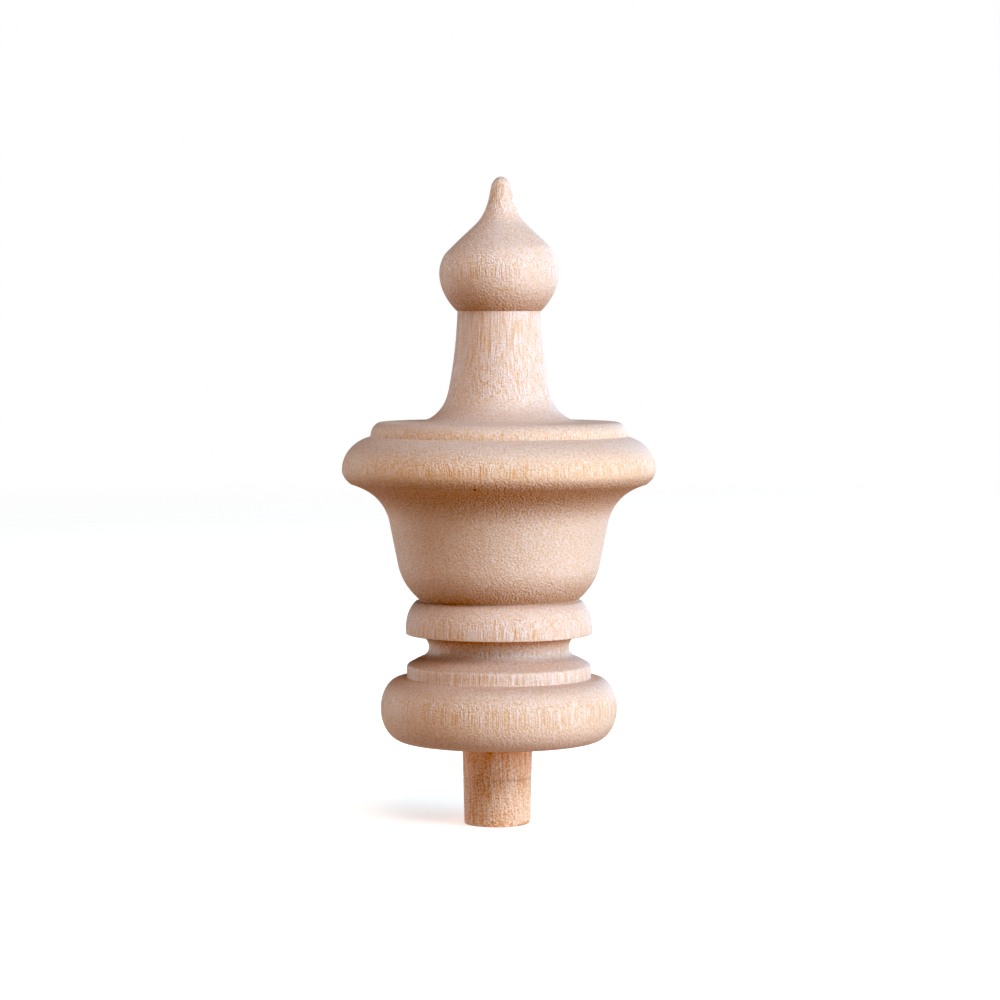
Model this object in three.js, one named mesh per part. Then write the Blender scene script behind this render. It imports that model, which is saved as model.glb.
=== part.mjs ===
// A turned wooden finial, cut from one blank: an onion with a spire on a flared column, a crown and a
// wide rounded rim over a bell, then a ring, a cove, a step and a rounded foot, and a tapered tenon.
// Millimetres, +Z up. The origin is on the turning axis, at the foot's flat underside, where the
// finial seats on its post while the tenon goes down into a bored hole.
import * as THREE from 'three';

// Driving dimensions. The rim is turned to an inch size. Heights go by the foot's underside, and a
// side's heading is the way it runs going up: 0 is straight out, 90 straight up, 180 straight in.
const INCH = 25.4;
const RIM_RADIUS = 2.25 * INCH / 2;
const OUT = 0;
const UP = 90;
const IN = 180;

const TENON = { length: 15.25, topRadius: 6.42, endRadius: 6.04, brokenEdge: 0.35 };
const FOOT = { underRadius: 17.3, girth: 5.9, radius: 21.6, top: 11.5, topRadius: 18.0 };
const STEP = { radius: 16.82, shoulder: 13.6, arris: 14.3, arrisRadius: 16.15, arrisHeading: 150 };
const COVE = { lip: 15.2, lipRadius: 14.41, lipHeading: 167, waist: 17.0, radius: 12.78, roofRadius: 15.2 };
const RING = { underside: 19.5, radius: 17.0, girth: 20.6, top: 25.5, topRadius: 15.15, topHeading: 138 };
const BELL = { base: 25.75, baseRadius: 14.4, baseHeading: 38, low: 32.3, lowRadius: 18.43, high: 39.9 };
const HOLLOW = { turn: 44.5, turnRadius: 22.5, turnHeading: 43, lipHeading: 17 };
const RIM = { lip: 46.9, lipRadius: 27.0, lipHeading: 36, girth: 49.5, top: 55.45, topRadius: 23.6,
  topHeading: 165 };
const CROWN = { radius: 23.4, top: 58.15, topRadius: 21.3 };
const COLUMN = { flareRadius: 15.2, flare: 63.4, flareTopRadius: 9.28, flareHeading: 102.5, neck: 78.3,
  neckRadius: 7.52, neckHeading: 92.5 };
const ONION = { baseRadius: 7.7, baseHeading: 45, girth: 85.1, radius: 10.84, shoulder: 90.65,
  shoulderRadius: 8.15 };
const SPIRE = { foot: 94.05, footRadius: 4.55, neck: 100.3, neckRadius: 1.92, neckHeading: 98, top: 102.6 };
const BELL_SIDE_HEADING = 78.8;
const SPIRE_SIDE_HEADING = 136.6;

// How finely the outline and the turning are faceted.
const TURN_PER_FACET = 18;
const SECTORS = 64;

// The half outline in radius and height, from the tenon's end on the axis up to the tip on the axis.
const outline = [];

function at(radius, height) {
  return new THREE.Vector2(radius, height);
}

function along(heading) {
  const angle = THREE.MathUtils.degToRad(heading);
  return at(Math.cos(angle), Math.sin(angle));
}

function lineTo(radius, height) {
  outline.push(at(radius, height));
}

// A round from the outline's last point, tangent to a heading at each end. It is an arc of a circle
// where both tangents are as long to the corner where they meet, and of an ellipse where they differ.
function roundTo(radius, height, fromHeading, toHeading) {
  const start = outline[outline.length - 1];
  const end = at(radius, height);
  const setOff = along(fromHeading);
  const arrive = along(toHeading);
  const reach = end.clone().sub(start).cross(arrive) / setOff.cross(arrive);
  const corner = start.clone().addScaledVector(setOff, reach);
  const turn = Math.abs(toHeading - fromHeading);
  const pull = Math.cos(THREE.MathUtils.degToRad(turn / 2));
  const steps = Math.max(2, Math.round(turn / TURN_PER_FACET));
  for (let i = 1; i <= steps; i++) {
    const t = i / steps;
    const shares = [(1 - t) ** 2, 2 * pull * t * (1 - t), t ** 2];
    const whole = shares[0] + shares[1] + shares[2];
    const point = at(0, 0);
    [start, corner, end].forEach((p, k) => point.addScaledVector(p, shares[k] / whole));
    outline.push(point);
  }
}

function tenonOutline() {
  lineTo(0, -TENON.length);
  lineTo(TENON.endRadius - TENON.brokenEdge, -TENON.length);
  lineTo(TENON.endRadius, TENON.brokenEdge - TENON.length);
  lineTo(TENON.topRadius, 0);
}

function footOutline() {
  lineTo(FOOT.underRadius, 0);
  roundTo(FOOT.radius, FOOT.girth, OUT, UP);
  roundTo(FOOT.topRadius, FOOT.top, UP, IN);
}

function stepOutline() {
  lineTo(STEP.radius, FOOT.top);
  lineTo(STEP.radius, STEP.shoulder);
  roundTo(STEP.arrisRadius, STEP.arris, UP, STEP.arrisHeading);
}

function coveOutline() {
  lineTo(COVE.lipRadius, COVE.lip);
  roundTo(COVE.radius, COVE.waist, COVE.lipHeading, UP);
  roundTo(COVE.roofRadius, RING.underside, UP, OUT);
}

function ringOutline() {
  lineTo(RING.radius, RING.underside);
  lineTo(RING.radius, RING.girth);
  roundTo(RING.topRadius, RING.top, UP, RING.topHeading);
}

// The bell is an ogee: a round base, a straight side, and a hollow that opens out to the rim's lip.
function bellOutline() {
  const sideRun = (BELL.high - BELL.low) / Math.tan(THREE.MathUtils.degToRad(BELL_SIDE_HEADING));
  lineTo(BELL.baseRadius, BELL.base);
  roundTo(BELL.lowRadius, BELL.low, BELL.baseHeading, BELL_SIDE_HEADING);
  lineTo(BELL.lowRadius + sideRun, BELL.high);
  roundTo(HOLLOW.turnRadius, HOLLOW.turn, BELL_SIDE_HEADING, HOLLOW.turnHeading);
  roundTo(RIM.lipRadius, RIM.lip, HOLLOW.turnHeading, HOLLOW.lipHeading);
}

function rimOutline() {
  roundTo(RIM_RADIUS, RIM.girth, RIM.lipHeading, UP);
  roundTo(RIM.topRadius, RIM.top, UP, RIM.topHeading);
}

function crownOutline() {
  lineTo(CROWN.radius, RIM.top);
  roundTo(CROWN.topRadius, CROWN.top, UP, IN);
}

function columnOutline() {
  lineTo(COLUMN.flareRadius, CROWN.top);
  roundTo(COLUMN.flareTopRadius, COLUMN.flare, IN, COLUMN.flareHeading);
  roundTo(COLUMN.neckRadius, COLUMN.neck, COLUMN.flareHeading, COLUMN.neckHeading);
}

// The onion swells from the neck, turns in at its girth and runs straight up into the hollow spire.
function onionOutline() {
  lineTo(ONION.baseRadius, COLUMN.neck);
  roundTo(ONION.radius, ONION.girth, ONION.baseHeading, UP);
  roundTo(ONION.shoulderRadius, ONION.shoulder, UP, SPIRE_SIDE_HEADING);
  lineTo(SPIRE.footRadius, SPIRE.foot);
  roundTo(SPIRE.neckRadius, SPIRE.neck, SPIRE_SIDE_HEADING, SPIRE.neckHeading);
  roundTo(0, SPIRE.top, SPIRE.neckHeading, IN);
}

const mouldings = [tenonOutline, footOutline, stepOutline, coveOutline, ringOutline, bellOutline,
  rimOutline, crownOutline, columnOutline, onionOutline];
mouldings.forEach((draw) => draw());

// The outline is turned about the Y axis and then stood up, so that the turning axis is Z.
const turned = new THREE.LatheGeometry(outline, SECTORS);
turned.rotateX(Math.PI / 2);

const maple = new THREE.MeshStandardMaterial({ color: 0xe3c3a8, roughness: 0.6, metalness: 0 });
const finial = new THREE.Mesh(turned, maple);
finial.name = 'finial';

const group = new THREE.Group();
group.add(finial);

export default group;
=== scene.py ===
import math
from types import SimpleNamespace as Sizes

import bpy
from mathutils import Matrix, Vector


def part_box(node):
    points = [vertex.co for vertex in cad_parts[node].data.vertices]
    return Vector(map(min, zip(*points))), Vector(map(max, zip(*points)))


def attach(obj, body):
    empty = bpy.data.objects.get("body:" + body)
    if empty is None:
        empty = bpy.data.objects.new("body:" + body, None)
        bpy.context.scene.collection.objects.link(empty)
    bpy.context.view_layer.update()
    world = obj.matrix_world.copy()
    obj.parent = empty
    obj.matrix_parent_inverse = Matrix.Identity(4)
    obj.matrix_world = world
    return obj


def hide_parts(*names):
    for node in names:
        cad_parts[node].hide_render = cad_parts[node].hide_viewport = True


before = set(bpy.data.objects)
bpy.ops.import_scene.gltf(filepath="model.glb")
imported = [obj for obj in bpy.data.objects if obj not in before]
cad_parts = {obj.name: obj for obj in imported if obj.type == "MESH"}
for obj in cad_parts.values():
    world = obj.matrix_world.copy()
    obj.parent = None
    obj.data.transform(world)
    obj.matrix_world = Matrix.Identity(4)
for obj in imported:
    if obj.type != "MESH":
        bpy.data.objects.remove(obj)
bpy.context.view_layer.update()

MM = 0.001

# The outline's sizes, in millimetres of radius and height. A heading is the way a side runs going up:
# 0 is straight out, 90 straight up and 180 straight in.
lowest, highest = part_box("finial")
RIM_RADIUS = highest.x / MM
OUT = 0
UP = 90
IN = 180
TENON = Sizes(length=-lowest.z / MM, top_radius=6.42, end_radius=6.04)
SCRIBE = Sizes(height=-6.75, half_width=0.25, depth=0.05)
FOOT = Sizes(under_radius=17.3, girth=5.9, radius=21.6, top=11.5, top_radius=18.0)
STEP = Sizes(radius=16.82, shoulder=13.6, arris=14.3, arris_radius=16.15, arris_heading=150)
COVE = Sizes(lip=15.2, lip_radius=14.41, lip_heading=167, waist=17.0, radius=12.78, roof_radius=15.2)
RING = Sizes(underside=19.5, radius=17.0, girth=20.6, top=25.5, top_radius=15.15, top_heading=138)
BELL = Sizes(base=25.75, base_radius=14.4, base_heading=38, low=32.3, low_radius=18.43, high=39.9,
             side_heading=78.8)
HOLLOW = Sizes(turn=44.5, turn_radius=22.5, turn_heading=43, lip_heading=17)
RIM = Sizes(lip=46.9, lip_radius=27.0, lip_heading=36, girth=49.5, top=55.45, top_radius=23.6,
            top_heading=165)
CROWN = Sizes(radius=23.4, top=58.15, top_radius=21.3)
COLUMN = Sizes(flare_radius=15.2, flare=63.4, flare_top_radius=9.28, flare_heading=102.5, neck=78.3,
               neck_radius=7.52, neck_heading=92.5)
ONION = Sizes(base_radius=7.7, base_heading=45, girth=85.1, radius=10.84, shoulder=90.65,
              shoulder_radius=8.15)
SPIRE = Sizes(foot=94.05, foot_radius=4.55, neck=100.3, neck_radius=1.92, neck_heading=98,
              side_heading=136.6, top=highest.z / MM)

# The sanding: how far it rounds an arris where it is light and where it is heavy, how close its patches
# are, where in their noise it goes from light to heavy, and where it does so across the tenon's end, as a
# share of the radius. The tenon's right side is worn several times as far.
LIGHT_EASING = 0.07
HEAVY_EASING = 0.2
SANDING_PATCHES = 0.55
PATCH_EDGE = (0.35, 0.65)
TENON_WEAR_EDGE = (0.2, 0.95)
TENON_WEAR = 3

# The turning is not quite true: the tenon and the spire stand off the axis, and the shoulder takes it up.
TENON_SHIFT = -0.28
SPIRE_SHIFT = 0.385
SHIFT_FROM = 88.2
SHIFT_TO = 90.2

# How finely the piece is meshed: the outline's first spacing, the most that one ring may step or turn
# from the last, the sectors around, the points in a round, and the gap in metres that the seam closes.
OUTLINE_SPACING = 0.04
RING_STEP = 0.62
RING_TURN = 7
SECTORS = 180
ROUND_STEPS = 48
SEAM_GAP = 1e-6

# A nick in the rim's lower lip, at the front.
NICK = Sizes(angle=math.radians(261.3), height=46.9, radius=27.05, width=0.5, tall=0.3, depth=0.25)
NICK_PLACE = (NICK.radius * math.cos(NICK.angle), NICK.radius * math.sin(NICK.angle), NICK.height)

# The photograph's viewpoint, from its horizon, its width across the rim and the ellipses of the edges.
IMAGE_PIXELS = 1000
FOCAL_PIXELS = 3155
CAMERA_PLACE = (0.0002, -0.574, 0.07378)
CAMERA_PITCH = math.radians(-2.98)
SENSOR_MM = 36
NEAREST_SEEN = 0.01

# The studio, in metres: the floor's half width, its paint, warm to look white under the cool lamps, its
# glow, and where it thins out; the warm light that comes up from below, and how far up it reaches; the
# lamps' aim, distance and colours; and what the picture takes off as black.
FLOOR_HALF = 4
FLOOR_COLOUR = (0.9, 0.72, 0.58, 1)
FLOOR_ROUGHNESS = 0.9
FLOOR_GLOW = 0.6
FLOOR_FADE_FROM = 0.25
FLOOR_FADE_TO = 1.4
LIGHT_FROM_BELOW = (0.56, 0.46, 0.42, 1)
BELOW_EDGE = 0.3
LAMP_AIM = Vector((0, 0, 0.045))
LAMP_DISTANCE = 1.2
BLACK_LEVEL = 0.05
COOL_WHITE = (0.63, 1.0, 1.38)
PALE_WHITE = (0.88, 1.0, 1.14)
WARM_WHITE = (1.14, 1.0, 0.95)


# Outline


def point(radius, height):
    return Vector((radius, height))


def toward(heading):
    angle = math.radians(heading)
    return point(math.cos(angle), math.sin(angle))


def round_to(line, radius, height, from_heading, to_heading):
    """Adds a round from the line's last point: an arc of a circle or an ellipse, tangent at both ends."""
    start = line[-1]
    end = point(radius, height)
    arrive = toward(to_heading)
    set_off = toward(from_heading)
    corner = start + set_off * ((end - start).cross(arrive) / set_off.cross(arrive))
    pull = math.cos(math.radians(to_heading - from_heading) / 2)
    for i in range(1, ROUND_STEPS + 1):
        t = i / ROUND_STEPS
        shares = ((1 - t) ** 2, 2 * pull * t * (1 - t), t ** 2)
        line.append((start * shares[0] + corner * shares[1] + end * shares[2]) / sum(shares))


def tenon_outline(line):
    """The tapered tenon, with the fine line that was scribed round it."""
    line.append(point(0, -TENON.length))
    line.append(point(TENON.end_radius, -TENON.length))
    taper = (TENON.top_radius - TENON.end_radius) / TENON.length
    for height, depth in ((SCRIBE.height - SCRIBE.half_width, 0), (SCRIBE.height, SCRIBE.depth),
                          (SCRIBE.height + SCRIBE.half_width, 0)):
        line.append(point(TENON.top_radius + taper * height - depth, height))
    line.append(point(TENON.top_radius, 0))


def foot_outline(line):
    line.append(point(FOOT.under_radius, 0))
    round_to(line, FOOT.radius, FOOT.girth, OUT, UP)
    round_to(line, FOOT.top_radius, FOOT.top, UP, IN)


def step_outline(line):
    line.append(point(STEP.radius, FOOT.top))
    line.append(point(STEP.radius, STEP.shoulder))
    round_to(line, STEP.arris_radius, STEP.arris, UP, STEP.arris_heading)


def cove_outline(line):
    line.append(point(COVE.lip_radius, COVE.lip))
    round_to(line, COVE.radius, COVE.waist, COVE.lip_heading, UP)
    round_to(line, COVE.roof_radius, RING.underside, UP, OUT)


def ring_outline(line):
    line.append(point(RING.radius, RING.underside))
    line.append(point(RING.radius, RING.girth))
    round_to(line, RING.top_radius, RING.top, UP, RING.top_heading)


def bell_outline(line):
    side_run = (BELL.high - BELL.low) / math.tan(math.radians(BELL.side_heading))
    line.append(point(BELL.base_radius, BELL.base))
    round_to(line, BELL.low_radius, BELL.low, BELL.base_heading, BELL.side_heading)
    line.append(point(BELL.low_radius + side_run, BELL.high))
    round_to(line, HOLLOW.turn_radius, HOLLOW.turn, BELL.side_heading, HOLLOW.turn_heading)
    round_to(line, RIM.lip_radius, RIM.lip, HOLLOW.turn_heading, HOLLOW.lip_heading)


def rim_outline(line):
    round_to(line, RIM_RADIUS, RIM.girth, RIM.lip_heading, UP)
    round_to(line, RIM.top_radius, RIM.top, UP, RIM.top_heading)


def crown_outline(line):
    line.append(point(CROWN.radius, RIM.top))
    round_to(line, CROWN.top_radius, CROWN.top, UP, IN)


def column_outline(line):
    line.append(point(COLUMN.flare_radius, CROWN.top))
    round_to(line, COLUMN.flare_top_radius, COLUMN.flare, IN, COLUMN.flare_heading)
    round_to(line, COLUMN.neck_radius, COLUMN.neck, COLUMN.flare_heading, COLUMN.neck_heading)


def onion_outline(line):
    line.append(point(ONION.base_radius, COLUMN.neck))
    round_to(line, ONION.radius, ONION.girth, ONION.base_heading, UP)
    round_to(line, ONION.shoulder_radius, ONION.shoulder, UP, SPIRE.side_heading)
    line.append(point(SPIRE.foot_radius, SPIRE.foot))
    round_to(line, SPIRE.neck_radius, SPIRE.neck, SPIRE.side_heading, SPIRE.neck_heading)
    round_to(line, 0, SPIRE.top, SPIRE.neck_heading, IN)


def finial_outline():
    """The half outline from the tenon's end to the tip, with its arrises still sharp."""
    line = []
    for moulding in (tenon_outline, foot_outline, step_outline, cove_outline, ring_outline, bell_outline,
                     rim_outline, crown_outline, column_outline, onion_outline):
        moulding(line)
    return line


def evenly_spaced(line, spacing):
    """The same line with a point every so far along it, and its two ends kept."""
    placed = [line[0]]
    left_over = 0
    for start, end in zip(line, line[1:]):
        length = (end - start).length
        travelled = spacing - left_over
        while travelled <= length:
            placed.append(start.lerp(end, travelled / length))
            travelled += spacing
        left_over = length - (travelled - spacing)
    placed[-1] = line[-1]
    return placed


def eased(line, reach, spacing):
    """The line with its arrises rounded, as a mean over a bell-shaped window. Past its two ends the line
    runs on as its own reflection in the axis, so that the ends stay on the axis."""
    half = math.ceil(3 * reach / spacing)
    weights = [math.exp(-(k * spacing / reach) ** 2 / 2) for k in range(-half, half + 1)]
    whole = sum(weights)
    below = [point(-p.x, p.y) for p in reversed(line[1:half + 1])]
    above = [point(-p.x, p.y) for p in reversed(line[-half - 1:-1])]
    padded = below + line + above
    rounded = []
    for i in range(len(line)):
        mean = sum((padded[i + k] * w for k, w in enumerate(weights)), point(0, 0))
        rounded.append(mean / whole)
    return rounded


def ring_stations(line):
    """Which of the line's points become rings of the mesh: close together where the line turns."""
    kept = [0]
    length = 0
    turned = 0
    for i in range(1, len(line) - 1):
        before = line[i] - line[i - 1]
        after = line[i + 1] - line[i]
        length += before.length
        turned += abs(math.degrees(before.angle(after)))
        if length >= RING_STEP or turned >= RING_TURN:
            kept.append(i)
            length = 0
            turned = 0
    kept.append(len(line) - 1)
    return kept


def smooth_step(low, high, value):
    share = min(max((value - low) / (high - low), 0), 1)
    return share * share * (3 - 2 * share)


def axis_shift(radius, height):
    """How far to the side the axis stands for a point of the outline."""
    if height <= LIGHT_EASING:
        return TENON_SHIFT * (1 - smooth_step(TENON.top_radius, FOOT.under_radius, radius))
    return SPIRE_SHIFT * smooth_step(SHIFT_FROM, SHIFT_TO, height)


def outline_wire():
    """The outline as a wire of points in the XZ plane. Each point also holds where heavy sanding would
    put it, and its axis shift."""
    line = evenly_spaced(finial_outline(), OUTLINE_SPACING)
    light = eased(line, LIGHT_EASING, OUTLINE_SPACING)
    heavy = eased(line, HEAVY_EASING, OUTLINE_SPACING)
    stations = ring_stations(light)
    light[0].x = light[-1].x = heavy[0].x = heavy[-1].x = 0
    wire = bpy.data.meshes.new("finial_outline")
    places = [(light[i].x * MM, 0, light[i].y * MM) for i in stations]
    wire.from_pydata(places, [(i, i + 1) for i in range(len(stations) - 1)], [])
    sanded = wire.attributes.new("sanded_place", "FLOAT_VECTOR", "POINT")
    for k, i in enumerate(stations):
        sanded.data[k].vector = (heavy[i].x * MM, 0, heavy[i].y * MM)
    shift = wire.attributes.new("axis_shift", "FLOAT", "POINT")
    for k, i in enumerate(stations):
        shift.data[k].value = axis_shift(light[i].x, light[i].y) * MM
    return wire


# Node trees


def feed(tree, socket, source):
    """Links a socket to the source, or sets it where the source is a plain value."""
    if isinstance(source, bpy.types.NodeSocket):
        tree.links.new(source, socket)
    else:
        socket.default_value = source


def add(tree, kind, feeds=None, **settings):
    """A new node with its settings, and its inputs fed by name or number."""
    made = tree.nodes.new(kind)
    for name, value in settings.items():
        setattr(made, name, value)
    for key, source in (feeds or {}).items():
        feed(tree, made.inputs[key], source)
    return made


def calc(tree, operation, first, second=0.0, third=0.0):
    made = add(tree, "ShaderNodeMath", {0: first, 1: second, 2: third}, operation=operation)
    return made.outputs[0]


def calc_vector(tree, operation, first, second=(0, 0, 0)):
    made = add(tree, "ShaderNodeVectorMath", {0: first, 1: second}, operation=operation)
    return made.outputs[0]


def length_of(tree, vector):
    return add(tree, "ShaderNodeVectorMath", {0: vector}, operation="LENGTH").outputs["Value"]


def ramp(tree, value, low, high, to_low=0.0, to_high=1.0):
    """A smooth step of the value from one level to another."""
    made = add(tree, "ShaderNodeMapRange", interpolation_type="SMOOTHSTEP")
    for key, source in zip(("Value", "From Min", "From Max", "To Min", "To Max"),
                           (value, low, high, to_low, to_high)):
        feed(tree, made.inputs[key], source)
    return made.outputs["Result"]


def blend(tree, share, first, second):
    """One number turning into another as the share goes from 0 to 1."""
    return calc(tree, "MULTIPLY_ADD", share, calc(tree, "SUBTRACT", second, first), first)


def blend_colour(tree, share, first, second):
    made = add(tree, "ShaderNodeMix", data_type="RGBA")
    feed(tree, made.inputs["Factor"], share)
    feed(tree, made.inputs[6], first)
    feed(tree, made.inputs[7], second)
    return made.outputs[2]


def sockets(tree, in_out, kinds):
    """Gives a tree its named inputs or outputs."""
    for name, kind in kinds.items():
        tree.interface.new_socket(name, in_out=in_out, socket_type="NodeSocket" + kind)


# Turning


def lathe_tree():
    """Turns an outline about Z: a grid of sectors by outline points, wrapped round and closed."""
    tree = bpy.data.node_groups.new("turn_the_outline", "GeometryNodeTree")
    sockets(tree, "INPUT", {"Outline": "Geometry", "Sectors": "Int", "Sanding patches": "Float",
                            "Nick angle": "Float", "Nick height": "Float", "Nick width": "Float",
                            "Nick tall": "Float", "Nick depth": "Float", "Body": "Material",
                            "Tenon": "Material"})
    sockets(tree, "OUTPUT", {"Turned piece": "Geometry"})
    given = add(tree, "NodeGroupInput").outputs
    points = add(tree, "GeometryNodeAttributeDomainSize", {0: given["Outline"]}).outputs["Point Count"]
    columns = calc(tree, "ADD", given["Sectors"], 1)
    grid = add(tree, "GeometryNodeMeshGrid", {"Vertices X": columns, "Vertices Y": points})
    index = add(tree, "GeometryNodeInputIndex").outputs[0]
    column = calc(tree, "FLOOR", calc(tree, "DIVIDE", index, points))
    row = calc(tree, "SUBTRACT", index, calc(tree, "MULTIPLY", column, points))
    angle = calc(tree, "MULTIPLY", calc(tree, "DIVIDE", column, given["Sectors"]), math.tau)
    across = calc(tree, "COSINE", angle)
    away = calc(tree, "SINE", angle)

    def of_outline(value, kind):
        return add(tree, "GeometryNodeSampleIndex", {0: given["Outline"], "Value": value, "Index": row},
                   data_type=kind, domain="POINT").outputs[0]

    def attribute(name, kind):
        return add(tree, "GeometryNodeInputNamedAttribute", {"Name": name}, data_type=kind).outputs[0]

    place = of_outline(add(tree, "GeometryNodeInputPosition").outputs[0], "FLOAT_VECTOR")
    sanded = of_outline(attribute("sanded_place", "FLOAT_VECTOR"), "FLOAT_VECTOR")
    shift = of_outline(attribute("axis_shift", "FLOAT"), "FLOAT")
    height = add(tree, "ShaderNodeSeparateXYZ", {0: place}).outputs["Z"]

    # The sanding is heavier in patches, and on the tenon's end it is heavier on one side.
    patch_place = add(tree, "ShaderNodeCombineXYZ", {0: across, 1: away,
                                                     2: calc(tree, "MULTIPLY", height, 1 / MM)})
    patches = add(tree, "ShaderNodeTexNoise", {"Vector": patch_place.outputs[0],
                                               "Scale": given["Sanding patches"], "Detail": 1.0})
    on_body = ramp(tree, patches.outputs[0], *PATCH_EDGE)
    on_tenon = ramp(tree, across, *TENON_WEAR_EDGE, 0, TENON_WEAR)
    in_tenon = calc(tree, "LESS_THAN", height, -LIGHT_EASING * MM)
    sanding = blend(tree, in_tenon, on_body, on_tenon)
    change = calc_vector(tree, "SUBTRACT", sanded, place)
    scaled = add(tree, "ShaderNodeVectorMath", {0: change, "Scale": sanding}, operation="SCALE")
    worn = add(tree, "ShaderNodeSeparateXYZ", {0: calc_vector(tree, "ADD", place, scaled.outputs[0])})

    # The nick is a small bell-shaped dent.
    sideways = calc(tree, "MULTIPLY", calc(tree, "SUBTRACT", angle, given["Nick angle"]), worn.outputs["X"])
    sideways = calc(tree, "POWER", calc(tree, "DIVIDE", sideways, given["Nick width"]), 2)
    upward = calc(tree, "SUBTRACT", worn.outputs["Z"], given["Nick height"])
    upward = calc(tree, "POWER", calc(tree, "DIVIDE", upward, given["Nick tall"]), 2)
    falloff = calc(tree, "EXPONENT", calc(tree, "SUBTRACT", calc(tree, "MULTIPLY", sideways, -1), upward))
    radius = calc(tree, "SUBTRACT", worn.outputs["X"], calc(tree, "MULTIPLY", falloff, given["Nick depth"]))

    wrapped = add(tree, "ShaderNodeCombineXYZ", {
        0: calc(tree, "MULTIPLY_ADD", radius, across, shift),
        1: calc(tree, "MULTIPLY", radius, away),
        2: worn.outputs["Z"]})
    turned = add(tree, "GeometryNodeSetPosition", {0: grid.outputs[0], "Position": wrapped.outputs[0]})
    closed = add(tree, "GeometryNodeMergeByDistance", {0: turned.outputs[0], "Distance": SEAM_GAP})
    smooth = add(tree, "GeometryNodeSetShadeSmooth", {0: closed.outputs[0]})
    real = add(tree, "GeometryNodeRealizeInstances", {0: smooth.outputs[0]})
    body = add(tree, "GeometryNodeSetMaterial", {0: real.outputs[0], "Material": given["Body"]})
    level = add(tree, "ShaderNodeSeparateXYZ", {0: add(tree, "GeometryNodeInputPosition").outputs[0]})
    below = calc(tree, "LESS_THAN", level.outputs["Z"], -LIGHT_EASING * MM)
    whole = add(tree, "GeometryNodeSetMaterial", {0: body.outputs[0], "Selection": below,
                                                  "Material": given["Tenon"]})
    add(tree, "NodeGroupOutput", {0: whole.outputs[0]})
    return tree


def turned_finial(body, tenon):
    finial = bpy.data.objects.new("turned_finial", outline_wire())
    bpy.context.scene.collection.objects.link(finial)
    tree = lathe_tree()
    turning = finial.modifiers.new("turning", "NODES")
    turning.node_group = tree
    values = {"Sectors": SECTORS, "Sanding patches": SANDING_PATCHES, "Nick angle": NICK.angle,
              "Nick height": NICK.height * MM, "Nick width": NICK.width * MM, "Nick tall": NICK.tall * MM,
              "Nick depth": NICK.depth * MM, "Body": body, "Tenon": tenon}
    for item in tree.interface.items_tree:
        if item.name in values:
            turning[item.identifier] = values[item.name]
    graph = bpy.context.evaluated_depsgraph_get()
    mesh = bpy.data.meshes.new_from_object(finial.evaluated_get(graph), depsgraph=graph)
    finial.modifiers.remove(turning)
    finial.data = mesh
    mesh.name = "turned_finial"
    return finial


# Wood


# How the grain shows, and where shade and warm light from below are painted on. A facing is how far a
# side's normal points up: -1 is straight down and 1 straight up. Each pair of values is an edge, between
# which an effect comes in or goes out.
DRIFT_SCALE = 0.035
DRIFT_REACH = (4, 4, 0)
# These edges place the painted shade under mouldings, on the underside and in the cove.
UNDERCUT_FACING = (-0.95, -0.2)
UNDERCUT_HEIGHT = (6, 12)
UNDERSIDE_FACING = (-1.0, -0.93)
COVE_SHADE = Sizes(rise=2, share=0.6, edge=0.1)
STREAKS_FROM = (-0.2, -0.06)
STREAKS_TO = (0.25, 0.55)
STREAKS_LEFT = 0.15
FIBRE_WAVER = 0.5
SPECKS_SLOPE = (0.05, 0.22)
SPECKS_ON_SIDES = 0.7
RECESS_SPECKS = 0.5
RECESS_ROUGHNESS = 1.7
PORE_EDGE = (0.1, 0.24)
RING_WOBBLE = 0.12
RING_SHARPNESS = 3
NICK_EDGE = (0.15, 0.5)
SCRIBE_EDGE = (0.05, 0.45)
SCRIBE_FADE = Sizes(left=-4, right=2, faint=0.05, dark=0.3)
END_GRAIN_SLOPE = (0.15, 0.9)
# This range of radii places the painted warm light from below on the wide girths.
WARM_GLOW_RADIUS = (16, 27)
RAISED_GRAIN = 0.1


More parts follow.
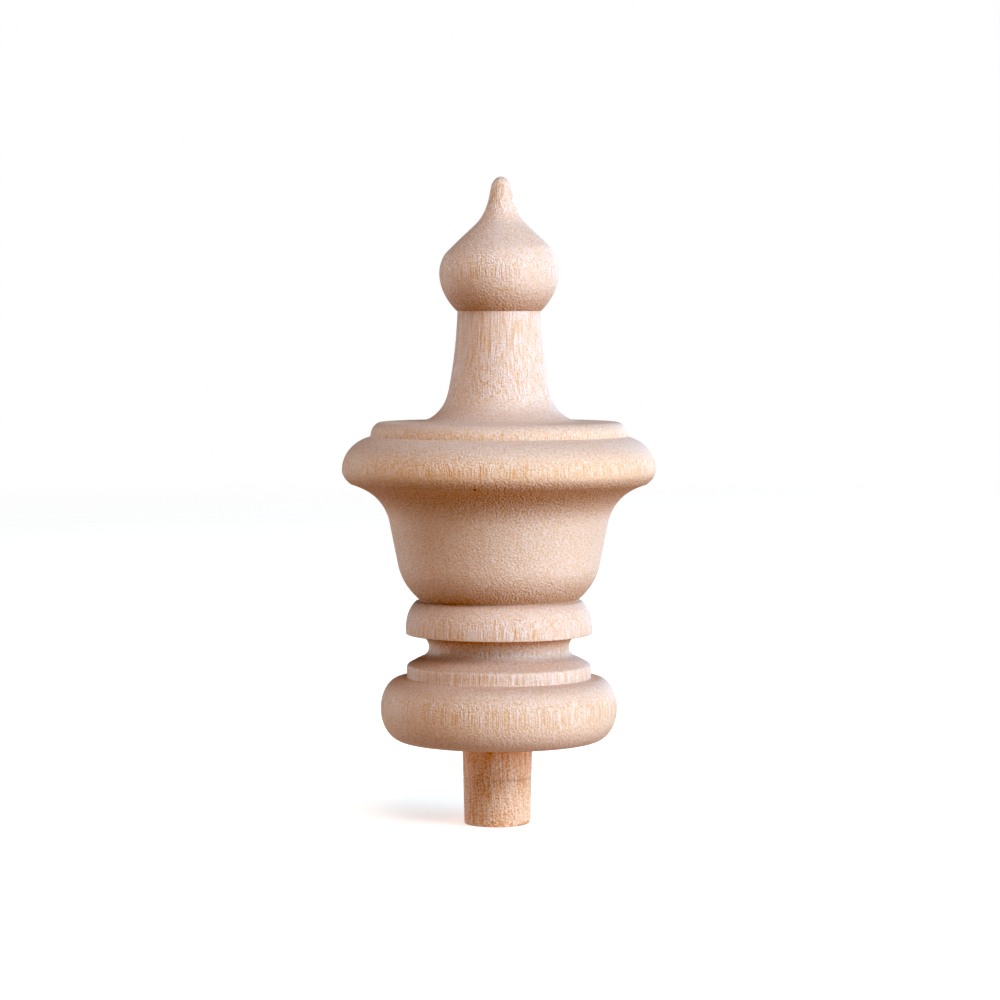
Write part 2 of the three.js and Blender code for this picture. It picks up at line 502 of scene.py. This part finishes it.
def maple_grain():
    """What a cut shows of the wood's inside, in millimetres. Fibres and pores run a long way up the blank.
    A side parallel to the axis shows them as streaks, and a sloping or level one as ever shorter specks."""
    # Besides the grain, this tree gives the masks for painted shade and painted warm light from below.
    tree = bpy.data.node_groups.new("maple_grain", "ShaderNodeTree")
    sockets(tree, "INPUT", {"Fibre width": "Float", "Fibre length": "Float", "Fibre contrast": "Float",
                            "Fuzz size": "Vector", "Fuzz contrast": "Float", "Pore spacing": "Float",
                            "Pore length": "Float", "Ring spacing": "Float", "Pith": "Vector",
                            "Nick place": "Vector", "Scribe height": "Float"})
    sockets(tree, "OUTPUT", {"Tone": "Float", "Pores": "Float", "Rings": "Float", "End grain": "Float",
                             "Recess": "Float", "Outer wood": "Float", "Marks": "Float",
                             "Height": "Float"})
    given = add(tree, "NodeGroupInput").outputs
    where = add(tree, "ShaderNodeTexCoord").outputs
    straight = calc_vector(tree, "MULTIPLY", where["Object"], (1 / MM, 1 / MM, 1 / MM))

    def noise(vector, scale, detail, distortion=0.0):
        return add(tree, "ShaderNodeTexNoise", {"Vector": vector, "Scale": scale, "Detail": detail,
                                                "Distortion": distortion}).outputs

    # The grain wanders: slow drifts carry the fibres and rings to the side.
    drift = calc_vector(tree, "SUBTRACT", noise(straight, DRIFT_SCALE, 1)["Color"], (0.5, 0.5, 0.5))
    place = calc_vector(tree, "ADD", straight, calc_vector(tree, "MULTIPLY", drift, DRIFT_REACH))

    def along_grain(width, length):
        size = add(tree, "ShaderNodeCombineXYZ", {0: width, 1: width, 2: length}).outputs[0]
        return calc_vector(tree, "DIVIDE", place, size)

    # Painted shade: under a moulding, on the flat underside and up in the cove, where shade falls, the wood
    # is tinted browner.
    # The same mask makes the raised grain coarser there.
    facing = add(tree, "ShaderNodeSeparateXYZ", {0: where["Normal"]}).outputs["Z"]
    slope = calc(tree, "ABSOLUTE", facing)
    axes = add(tree, "ShaderNodeSeparateXYZ", {0: straight}).outputs
    height = axes["Z"]
    painted_shade = calc(tree, "MULTIPLY", ramp(tree, facing, *UNDERCUT_FACING, 1, 0),
                  ramp(tree, height, *UNDERCUT_HEIGHT))
    painted_shade = calc(tree, "MAXIMUM", painted_shade, ramp(tree, facing, *UNDERSIDE_FACING, 1, 0))
    off_axis = length_of(tree, calc_vector(tree, "MULTIPLY", straight, (1, 1, 0)))
    cove_shade = calc(tree, "MULTIPLY",
                   ramp(tree, height, COVE.waist, COVE.waist + COVE_SHADE.rise, 0, COVE_SHADE.share),
                   ramp(tree, height, RING.underside, RING.underside + COVE_SHADE.edge, 1, 0))
    cove_shade = calc(tree, "MULTIPLY", cove_shade, ramp(tree, off_axis, COVE.roof_radius, RING.radius, 1, 0))
    painted_shade = calc(tree, "MAXIMUM", painted_shade, cove_shade)

    # Fibres show as streaks on a side that runs along them. The fuzz of their cut ends shows most elsewhere.
    fibres = noise(along_grain(given["Fibre width"], given["Fibre length"]), 1, 1, FIBRE_WAVER)["Fac"]
    fuzz = noise(calc_vector(tree, "DIVIDE", straight, given["Fuzz size"]), 1, 0)["Fac"]
    along = calc(tree, "MULTIPLY", ramp(tree, facing, *STREAKS_FROM, STREAKS_LEFT, 1),
                 ramp(tree, facing, *STREAKS_TO, 1, STREAKS_LEFT))
    streaks = calc(tree, "MULTIPLY", calc(tree, "SUBTRACT", fibres, 0.5), given["Fibre contrast"])
    streaks = calc(tree, "MULTIPLY", streaks, along)
    specks = calc(tree, "MULTIPLY", calc(tree, "SUBTRACT", fuzz, 0.5), given["Fuzz contrast"])
    specks = calc(tree, "MULTIPLY", specks, ramp(tree, slope, *SPECKS_SLOPE, SPECKS_ON_SIDES, 1))
    specks = calc(tree, "MULTIPLY", specks, calc(tree, "MULTIPLY_ADD", painted_shade, RECESS_SPECKS, 1))
    tone = calc(tree, "ADD", calc(tree, "ADD", streaks, specks), 0.5)
    raised = calc(tree, "MULTIPLY_ADD", specks, calc(tree, "MULTIPLY", painted_shade, RECESS_ROUGHNESS), tone)
    cells = add(tree, "ShaderNodeTexVoronoi", {
        "Vector": along_grain(given["Pore spacing"], given["Pore length"]), "Scale": 1.0})
    pores = calc(tree, "MULTIPLY", ramp(tree, cells.outputs["Distance"], *PORE_EDGE, 1, 0), along)

    # Year rings darken slowly towards their outer edge and then start again.
    from_pith = calc_vector(tree, "SUBTRACT", place, given["Pith"])
    years = calc(tree, "DIVIDE", length_of(tree, calc_vector(tree, "MULTIPLY", from_pith, (1, 1, 0))),
                 given["Ring spacing"])
    years = calc(tree, "ADD", years, noise(place, RING_WOBBLE, 2)["Fac"])
    rings = calc(tree, "POWER", calc(tree, "FRACT", years), RING_SHARPNESS)

    # The nick is dark, and so is the scribed line, which has faded on one side.
    from_nick = length_of(tree, calc_vector(tree, "SUBTRACT", straight, given["Nick place"]))
    nick = ramp(tree, from_nick, *NICK_EDGE, 1, 0)
    from_scribe = calc(tree, "ABSOLUTE", calc(tree, "SUBTRACT", height, given["Scribe height"]))
    fade = ramp(tree, axes["X"], SCRIBE_FADE.left, SCRIBE_FADE.right, SCRIBE_FADE.faint, SCRIBE_FADE.dark)
    scribe = calc(tree, "MULTIPLY", ramp(tree, from_scribe, *SCRIBE_EDGE, 1, 0), fade)
    marks = calc(tree, "MAXIMUM", nick, scribe)

    # Painted warm light from below: sides that run along the grain far from the axis, the wide girths, are
    # tinted more golden.
    end_grain = ramp(tree, slope, *END_GRAIN_SLOPE)
    painted_warm_glow = calc(tree, "MULTIPLY", ramp(tree, off_axis, *WARM_GLOW_RADIUS),
                 calc(tree, "SUBTRACT", 1, end_grain))
    add(tree, "NodeGroupOutput", {"Tone": tone, "Pores": pores, "Rings": rings, "End grain": end_grain,
                                  "Recess": painted_shade, "Outer wood": painted_warm_glow, "Marks": marks,
                                  "Height": raised})
    return tree


def maple(name, grain, look):
    """Bare wood. The grain's masks mix the colours, painted shade and painted warm light among them, and its
    height makes a fine raised grain.
    """
    material = bpy.data.materials.new(name)
    material.use_nodes = True
    tree = material.node_tree
    tree.nodes.clear()
    group = add(tree, "ShaderNodeGroup", node_tree=grain)
    for key, value in look.grain.items():
        group.inputs[key].default_value = value
    masks = group.outputs
    colour = blend_colour(tree, masks["Tone"], look.dark, look.light)
    for mask, (share, tint) in look.tints.items():
        amount = calc(tree, "MULTIPLY", masks[mask], share)
        colour = add(tree, "ShaderNodeMix", {"Factor": amount, 6: colour, 7: tint}, data_type="RGBA",
                     blend_type="MULTIPLY").outputs[2]
    bump = add(tree, "ShaderNodeBump", {"Height": masks["Height"], "Strength": look.bump,
                                        "Distance": RAISED_GRAIN * MM})
    shader = add(tree, "ShaderNodeBsdfPrincipled", {"Base Color": colour, "Roughness": look.roughness,
                                                    "Normal": bump.outputs[0]})
    add(tree, "ShaderNodeOutputMaterial", {"Surface": shader.outputs[0]})
    return material


# The two finishes: the sanded body, and the tenon as the cutter left it. Each tint multiplies the wood's
# colour by as much of it as its share says.
PITH = (-38, 46, 0)
PORE_TINT = (0.85, 0.6, 0.34, 1)
END_TINT = (0.77, 0.71, 0.69, 1)
MARK_TINT = (0.38, 0.2, 0.1, 1)
# Of the body's tints, the brown one for undercuts, the underside and the cove is painted shade, and the
# golden one for the wide girths is painted warm light from below.
SANDED_MAPLE = Sizes(
    light=(0.84, 0.67, 0.6, 1),
    dark=(0.71, 0.405, 0.195, 1),
    tints={"Rings": (0.3, (0.93, 0.87, 0.82, 1)), "Pores": (0.5, PORE_TINT), "End grain": (1.0, END_TINT),
           "Recess": (1.0, (0.86, 0.72, 0.58, 1)), "Outer wood": (1.0, (1, 0.91, 0.77, 1)),
           "Marks": (1.0, MARK_TINT)},
    grain={"Fibre width": 0.26, "Fibre length": 11.0, "Fibre contrast": 2.0,
           "Fuzz size": (0.38, 0.38, 0.28), "Fuzz contrast": 1.2, "Pore spacing": 1.6, "Pore length": 16.0,
           "Ring spacing": 2.6, "Pith": PITH, "Nick place": NICK_PLACE, "Scribe height": SCRIBE.height},
    bump=0.85,
    roughness=0.55)
CUT_MAPLE = Sizes(
    light=(0.99, 0.71, 0.51, 1),
    dark=(0.77, 0.31, 0.11, 1),
    tints={"Rings": (0.4, (0.9, 0.84, 0.78, 1)), "Pores": (0.4, PORE_TINT), "End grain": (1.0, END_TINT),
           "Marks": (1.0, MARK_TINT)},
    grain={"Fibre width": 0.32, "Fibre length": 6.0, "Fibre contrast": 1.4,
           "Fuzz size": (0.36, 0.36, 0.28), "Fuzz contrast": 2.1, "Pore spacing": 1.1, "Pore length": 5.0,
           "Ring spacing": 2.6, "Pith": PITH, "Nick place": NICK_PLACE, "Scribe height": SCRIBE.height},
    bump=1.0,
    roughness=0.6)


# Studio


def pale_floor():
    """A pale floor at the tenon's end, lit a little from within as a light table is. It thins out with its
    distance from the finial, and the white room shows beyond. It leaves the finial's light alone."""
    mesh = bpy.data.meshes.new("floor")
    corners = [(x * FLOOR_HALF, y * FLOOR_HALF, lowest.z) for x, y in ((-1, -1), (1, -1), (1, 1), (-1, 1))]
    mesh.from_pydata(corners, [], [(0, 1, 2, 3)])
    material = bpy.data.materials.new("floor_paint")
    material.use_nodes = True
    tree = material.node_tree
    shader = tree.nodes["Principled BSDF"]
    shader.inputs["Base Color"].default_value = FLOOR_COLOUR
    shader.inputs["Roughness"].default_value = FLOOR_ROUGHNESS
    shader.inputs["Emission Color"].default_value = (1, 1, 1, 1)
    shader.inputs["Emission Strength"].default_value = FLOOR_GLOW
    distance = length_of(tree, add(tree, "ShaderNodeTexCoord").outputs["Object"])
    tree.links.new(ramp(tree, distance, FLOOR_FADE_FROM, FLOOR_FADE_TO, 1, 0), shader.inputs["Alpha"])
    mesh.materials.append(material)
    floor = bpy.data.objects.new("floor", mesh)
    floor.visible_diffuse = False
    floor.visible_glossy = False
    floor.visible_shadow = False
    bpy.context.scene.collection.objects.link(floor)


def soft_light(name, azimuth, elevation, size, power, colour):
    """A square soft light aimed at the finial's middle. Azimuth 0 is at the camera, 90 to its right."""
    side = math.radians(azimuth)
    up = math.radians(elevation)
    way = Vector((math.sin(side) * math.cos(up), -math.cos(side) * math.cos(up), math.sin(up)))
    lamp = bpy.data.lights.new(name, "AREA")
    lamp.size = size
    lamp.energy = power
    lamp.color = colour
    placed = bpy.data.objects.new(name, lamp)
    placed.location = LAMP_AIM + way * LAMP_DISTANCE
    placed.rotation_euler = way.to_track_quat("Z", "Y").to_euler()
    placed.visible_camera = False
    bpy.context.scene.collection.objects.link(placed)


def studio_room():
    """A white room to the eye. The only light of its own comes from below, as from a pale floor."""
    world = bpy.data.worlds.new("studio_room")
    world.use_nodes = True
    tree = world.node_tree
    tree.nodes.clear()
    way = add(tree, "ShaderNodeSeparateXYZ", {0: add(tree, "ShaderNodeTexCoord").outputs["Generated"]})
    from_below = ramp(tree, way.outputs["Z"], -BELOW_EDGE, BELOW_EDGE, 1, 0)
    light = add(tree, "ShaderNodeBackground", {"Color": LIGHT_FROM_BELOW, "Strength": from_below})
    white = add(tree, "ShaderNodeBackground", {"Color": (1, 1, 1, 1), "Strength": 1.0})
    seen = add(tree, "ShaderNodeLightPath").outputs["Is Camera Ray"]
    both = add(tree, "ShaderNodeMixShader", {0: seen, 1: light.outputs[0], 2: white.outputs[0]})
    add(tree, "ShaderNodeOutputWorld", {0: both.outputs[0]})
    bpy.context.scene.world = world


def photo_camera():
    lens = bpy.data.cameras.new("camera")
    lens.sensor_width = SENSOR_MM
    lens.lens = FOCAL_PIXELS / IMAGE_PIXELS * SENSOR_MM
    lens.clip_start = NEAREST_SEEN
    camera = bpy.data.objects.new("camera", lens)
    camera.location = CAMERA_PLACE
    camera.rotation_euler = (math.radians(90) + CAMERA_PITCH, 0, 0)
    bpy.context.scene.collection.objects.link(camera)
    bpy.context.scene.camera = camera


photo_camera()
pale_floor()
studio_room()
soft_light("key_light", azimuth=58, elevation=22, size=0.8, power=14.4, colour=COOL_WHITE)
soft_light("top_light", azimuth=0, elevation=89, size=0.7, power=4.7, colour=COOL_WHITE)
soft_light("right_light", azimuth=85, elevation=-18, size=0.7, power=3.9, colour=WARM_WHITE)
soft_light("left_light", azimuth=-120, elevation=5, size=0.7, power=5.0, colour=PALE_WHITE)
soft_light("front_light", azimuth=12, elevation=45, size=0.7, power=7.9, colour=WARM_WHITE)
soft_light("back_light", azimuth=150, elevation=10, size=0.7, power=5.0, colour=COOL_WHITE)
display = bpy.context.scene.view_settings
display.view_transform = "Standard"
display.use_curve_mapping = True
display.curve_mapping.black_level = (BLACK_LEVEL, BLACK_LEVEL, BLACK_LEVEL)

grain = maple_grain()
finial = turned_finial(maple("sanded_maple", grain, SANDED_MAPLE), maple("cut_maple", grain, CUT_MAPLE))
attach(finial, "root")
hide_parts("finial")
